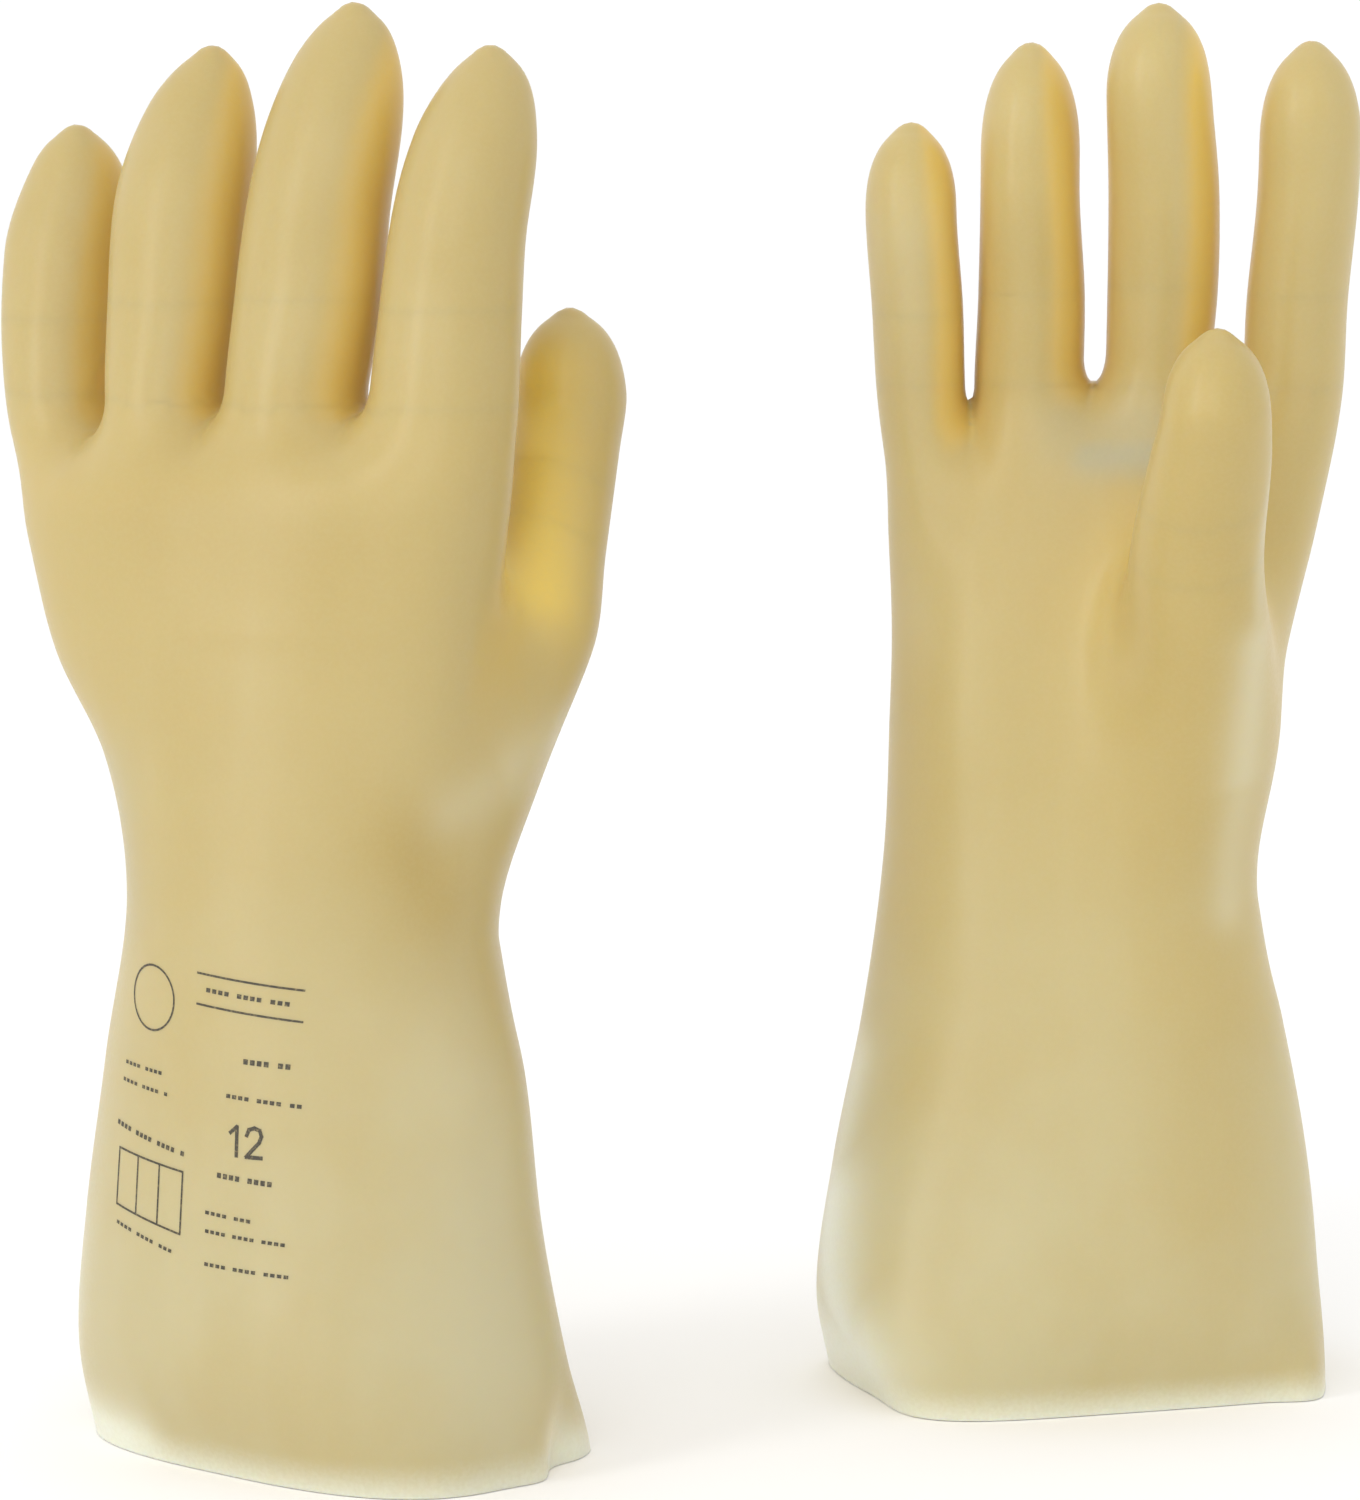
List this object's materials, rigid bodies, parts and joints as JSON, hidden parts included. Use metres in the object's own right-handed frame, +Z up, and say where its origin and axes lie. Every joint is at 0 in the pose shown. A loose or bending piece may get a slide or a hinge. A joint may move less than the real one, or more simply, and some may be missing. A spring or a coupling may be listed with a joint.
{
  "type": "insulating gloves",
  "caption": "Pair of long thick-walled latex gauntlets with flared cuffs, standing upright on their open rims.",
  "frame": {"origin": "middle of the pair's bounding box, on the surface the cuffs stand on", "axes": "+Z up towards the fingertips, +X from the left-hand glove to the right-hand glove, -Y towards the viewer, who sees the left-hand glove's back and the right-hand glove's palm"},
  "size_m": [0.3477, 0.1872, 0.36],
  "materials": {
    "left_cuff_latex": "smooth natural latex, soft satin sheen",
    "left_palm_latex": "smooth natural latex, soft satin sheen",
    "left_thumb_proximal_latex": "smooth natural latex, soft satin sheen",
    "left_thumb_distal_latex": "smooth natural latex, soft satin sheen",
    "left_index_proximal_latex": "smooth natural latex, soft satin sheen",
    "left_index_distal_latex": "smooth natural latex, soft satin sheen",
    "left_middle_proximal_latex": "smooth natural latex, soft satin sheen",
    "left_middle_distal_latex": "smooth natural latex, soft satin sheen",
    "left_ring_proximal_latex": "smooth natural latex, soft satin sheen",
    "left_ring_distal_latex": "smooth natural latex, soft satin sheen",
    "left_little_proximal_latex": "smooth natural latex, soft satin sheen",
    "left_little_distal_latex": "smooth natural latex, soft satin sheen",
    "right_cuff_latex": "smooth natural latex, soft satin sheen",
    "right_palm_latex": "smooth natural latex, soft satin sheen",
    "right_thumb_proximal_latex": "smooth natural latex, soft satin sheen",
    "right_thumb_distal_latex": "smooth natural latex, soft satin sheen",
    "right_index_proximal_latex": "smooth natural latex, soft satin sheen",
    "right_index_distal_latex": "smooth natural latex, soft satin sheen",
    "right_middle_proximal_latex": "smooth natural latex, soft satin sheen",
    "right_middle_distal_latex": "smooth natural latex, soft satin sheen",
    "right_ring_proximal_latex": "smooth natural latex, soft satin sheen",
    "right_ring_distal_latex": "smooth natural latex, soft satin sheen",
    "right_little_proximal_latex": "smooth natural latex, soft satin sheen",
    "right_little_distal_latex": "smooth natural latex, soft satin sheen"
  },
  "bodies": {
    "left_cuff": {"left_cuff": "left_cuff_latex"},
    "left_palm": {"left_palm": "left_palm_latex"},
    "left_thumb_proximal": {"left_thumb_proximal": "left_thumb_proximal_latex"},
    "left_thumb_distal": {"left_thumb_distal": "left_thumb_distal_latex"},
    "left_index_proximal": {"left_index_proximal": "left_index_proximal_latex"},
    "left_index_distal": {"left_index_distal": "left_index_distal_latex"},
    "left_middle_proximal": {"left_middle_proximal": "left_middle_proximal_latex"},
    "left_middle_distal": {"left_middle_distal": "left_middle_distal_latex"},
    "left_ring_proximal": {"left_ring_proximal": "left_ring_proximal_latex"},
    "left_ring_distal": {"left_ring_distal": "left_ring_distal_latex"},
    "left_little_proximal": {"left_little_proximal": "left_little_proximal_latex"},
    "left_little_distal": {"left_little_distal": "left_little_distal_latex"},
    "right_cuff": {"right_cuff": "right_cuff_latex"},
    "right_palm": {"right_palm": "right_palm_latex"},
    "right_thumb_proximal": {"right_thumb_proximal": "right_thumb_proximal_latex"},
    "right_thumb_distal": {"right_thumb_distal": "right_thumb_distal_latex"},
    "right_index_proximal": {"right_index_proximal": "right_index_proximal_latex"},
    "right_index_distal": {"right_index_distal": "right_index_distal_latex"},
    "right_middle_proximal": {"right_middle_proximal": "right_middle_proximal_latex"},
    "right_middle_distal": {"right_middle_distal": "right_middle_distal_latex"},
    "right_ring_proximal": {"right_ring_proximal": "right_ring_proximal_latex"},
    "right_ring_distal": {"right_ring_distal": "right_ring_distal_latex"},
    "right_little_proximal": {"right_little_proximal": "right_little_proximal_latex"},
    "right_little_distal": {"right_little_distal": "right_little_distal_latex"}
  },
  "joints": [
    {"name": "right_glove_lift", "type": "slide", "parent": "left_cuff", "child": "right_cuff", "axis": [0, 0, 1], "range_m": [0, 0.4]},
    {"name": "left_wrist_bend", "type": "hinge", "parent": "left_cuff", "child": "left_palm", "pos_m": [-0.07409, -0.00348, 0.14], "axis": [-0.891, 0.454, 0], "range_deg": [0, 30], "stiffness_Nm_per_rad": 0.3},
    {"name": "left_thumb_knuckle", "type": "hinge", "parent": "left_palm", "child": "left_thumb_proximal", "pos_m": [-0.04299, -0.00042, 0.228], "axis": [-0.379, -0.7437, 0.5507], "range_deg": [0, 20], "stiffness_Nm_per_rad": 0.02},
    {"name": "left_thumb_curl", "type": "hinge", "parent": "left_thumb_proximal", "child": "left_thumb_distal", "pos_m": [-0.03891, 0.01379, 0.25], "axis": [-0.379, -0.7437, 0.5507], "range_deg": [0, 35], "stiffness_Nm_per_rad": 0.02},
    {"name": "left_index_knuckle", "type": "hinge", "parent": "left_palm", "child": "left_index_proximal", "pos_m": [-0.04841, -0.03683, 0.266], "axis": [-0.891, 0.454, 0], "range_deg": [0, 25], "stiffness_Nm_per_rad": 0.02},
    {"name": "left_index_curl", "type": "hinge", "parent": "left_index_proximal", "child": "left_index_distal", "pos_m": [-0.04463, -0.02713, 0.306], "axis": [-0.891, 0.454, 0], "range_deg": [0, 45], "stiffness_Nm_per_rad": 0.02},
    {"name": "left_middle_knuckle", "type": "hinge", "parent": "left_palm", "child": "left_middle_proximal", "pos_m": [-0.08563, -0.02024, 0.266], "axis": [-0.891, 0.454, 0], "range_deg": [0, 30], "stiffness_Nm_per_rad": 0.02},
    {"name": "left_middle_curl", "type": "hinge", "parent": "left_middle_proximal", "child": "left_middle_distal", "pos_m": [-0.08084, -0.0079, 0.311], "axis": [-0.891, 0.454, 0], "range_deg": [0, 50], "stiffness_Nm_per_rad": 0.02},
    {"name": "left_ring_knuckle", "type": "hinge", "parent": "left_palm", "child": "left_ring_proximal", "pos_m": [-0.11869, -0.00243, 0.266], "axis": [-0.891, 0.454, 0], "range_deg": [0, 30], "stiffness_Nm_per_rad": 0.02},
    {"name": "left_ring_curl", "type": "hinge", "parent": "left_ring_proximal", "child": "left_ring_distal", "pos_m": [-0.11678, 0.01016, 0.306], "axis": [-0.891, 0.454, 0], "range_deg": [0, 50], "stiffness_Nm_per_rad": 0.02},
    {"name": "left_little_knuckle", "type": "hinge", "parent": "left_palm", "child": "left_little_proximal", "pos_m": [-0.15049, 0.02199, 0.266], "axis": [-0.891, 0.454, 0], "range_deg": [0, 30], "stiffness_Nm_per_rad": 0.02},
    {"name": "left_little_curl", "type": "hinge", "parent": "left_little_proximal", "child": "left_little_distal", "pos_m": [-0.15101, 0.03258, 0.296], "axis": [-0.891, 0.454, 0], "range_deg": [0, 50], "stiffness_Nm_per_rad": 0.02},
    {"name": "right_wrist_bend", "type": "hinge", "parent": "right_cuff", "child": "right_palm", "pos_m": [0.09753, 0.00051, 0.14], "axis": [0.9903, -0.1392, 0], "range_deg": [0, 30], "stiffness_Nm_per_rad": 0.3},
    {"name": "right_thumb_knuckle", "type": "hinge", "parent": "right_palm", "child": "right_thumb_proximal", "pos_m": [0.11369, -0.0209, 0.228], "axis": [-0.1183, -0.842, -0.5263], "range_deg": [0, 20], "stiffness_Nm_per_rad": 0.02},
    {"name": "right_thumb_curl", "type": "hinge", "parent": "right_thumb_proximal", "child": "right_thumb_distal", "pos_m": [0.117, -0.03512, 0.25], "axis": [-0.1183, -0.842, -0.5263], "range_deg": [0, 35], "stiffness_Nm_per_rad": 0.02},
    {"name": "right_index_knuckle", "type": "hinge", "parent": "right_palm", "child": "right_index_proximal", "pos_m": [0.15613, 0.00856, 0.266], "axis": [0.9903, -0.1392, 0], "range_deg": [0, 25], "stiffness_Nm_per_rad": 0.02},
    {"name": "right_index_curl", "type": "hinge", "parent": "right_index_proximal", "child": "right_index_distal", "pos_m": [0.15832, -0.0013, 0.306], "axis": [0.9903, -0.1392, 0], "range_deg": [0, 45], "stiffness_Nm_per_rad": 0.02},
    {"name": "right_middle_knuckle", "type": "hinge", "parent": "right_palm", "child": "right_middle_proximal", "pos_m": [0.12157, 0.01638, 0.266], "axis": [0.9903, -0.1392, 0], "range_deg": [0, 30], "stiffness_Nm_per_rad": 0.02},
    {"name": "right_middle_curl", "type": "hinge", "parent": "right_middle_proximal", "child": "right_middle_distal", "pos_m": [0.12203, 0.00243, 0.311], "axis": [0.9903, -0.1392, 0], "range_deg": [0, 50], "stiffness_Nm_per_rad": 0.02},
    {"name": "right_ring_knuckle", "type": "hinge", "parent": "right_palm", "child": "right_ring_proximal", "pos_m": [0.08872, 0.01942, 0.266], "axis": [0.9903, -0.1392, 0], "range_deg": [0, 30], "stiffness_Nm_per_rad": 0.02},
    {"name": "right_ring_curl", "type": "hinge", "parent": "right_ring_proximal", "child": "right_ring_distal", "pos_m": [0.08839, 0.00829, 0.306], "axis": [0.9903, -0.1392, 0], "range_deg": [0, 50], "stiffness_Nm_per_rad": 0.02},
    {"name": "right_little_knuckle", "type": "hinge", "parent": "right_palm", "child": "right_little_proximal", "pos_m": [0.05952, 0.01903, 0.266], "axis": [0.9903, -0.1392, 0], "range_deg": [0, 30], "stiffness_Nm_per_rad": 0.02},
    {"name": "right_little_curl", "type": "hinge", "parent": "right_little_proximal", "child": "right_little_distal", "pos_m": [0.05819, 0.01102, 0.296], "axis": [0.9903, -0.1392, 0], "range_deg": [0, 50], "stiffness_Nm_per_rad": 0.02}
  ]
}
